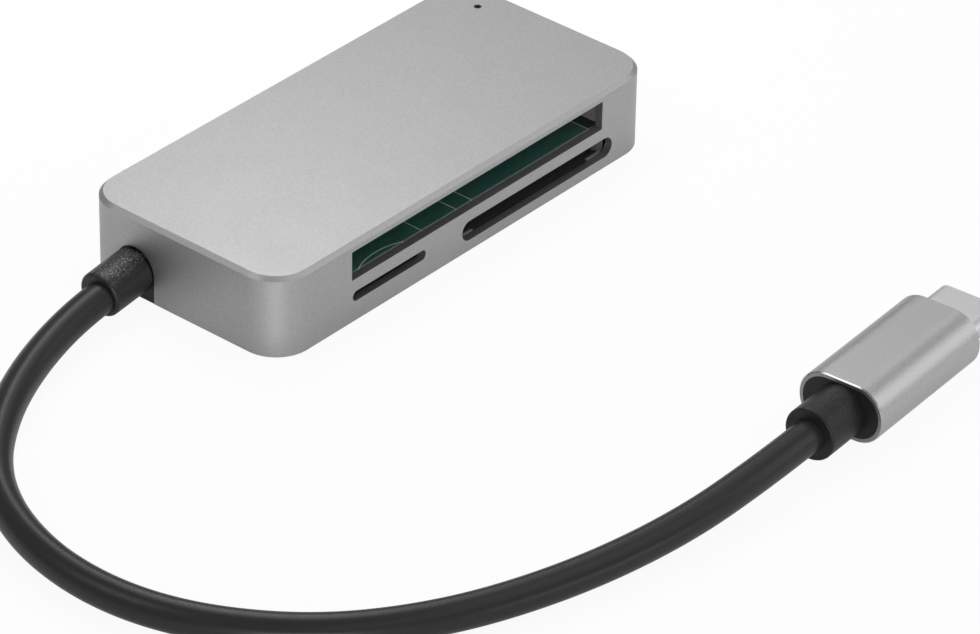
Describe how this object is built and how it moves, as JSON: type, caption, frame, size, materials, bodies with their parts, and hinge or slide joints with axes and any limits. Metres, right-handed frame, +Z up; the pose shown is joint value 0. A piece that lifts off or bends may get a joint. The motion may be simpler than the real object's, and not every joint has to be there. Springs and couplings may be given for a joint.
{
  "type": "usb memory card reader",
  "caption": "Flat aluminium memory card reader with card slots in its long front side and a short round cable ending in a USB-C plug.",
  "frame": {"origin": "on the table under the middle of the housing", "axes": "+X along the housing away from the cable, card slots face -Y, +Z up"},
  "size_m": [0.112, 0.0895, 0.0105],
  "materials": {
    "aluminium": "fine sand-blasted, clear anodised",
    "base_plastic": "fine moulded texture",
    "board_green": "solder mask",
    "steel": "stamped",
    "shell_steel": "stamped, dull",
    "socket_plastic": "moulded",
    "header_plastic": "moulded",
    "contact_gold": "gold plated",
    "chip_black": "moulded",
    "ceramic_tan": "ceramic",
    "led_white": "clear resin",
    "boot_black": "fine spark-eroded texture",
    "plug_rubber": "satin",
    "wire_insulation": "smooth",
    "cable_black": "satin jacket",
    "plug_steel": "drawn, satin nickel"
  },
  "bodies": {
    "root": {"housing": "aluminium", "base_plate": "base_plastic", "circuit_board": "board_green", "board_screws": "steel", "cf_header": "header_plastic", "cf_pins": "contact_gold", "sd_socket_frame": "socket_plastic", "sd_socket_shell": "shell_steel", "sd_contacts": "contact_gold", "microsd_socket_frame": "socket_plastic", "microsd_socket_shell": "shell_steel", "microsd_contacts": "contact_gold", "controller_chip": "chip_black", "crystal": "steel", "voltage_regulator": "chip_black", "resistors": "chip_black", "capacitors": "ceramic_tan", "status_led": "led_white", "strain_relief": "boot_black", "signal_wires": "wire_insulation", "cable": "cable_black", "plug_sleeve": "aluminium", "plug_overmould": "plug_rubber", "plug_board": "board_green", "usb_c_shell": "plug_steel", "usb_c_insulator": "socket_plastic", "usb_c_contacts": "contact_gold", "usb_c_latches": "steel"}
  },
  "joints": []
}
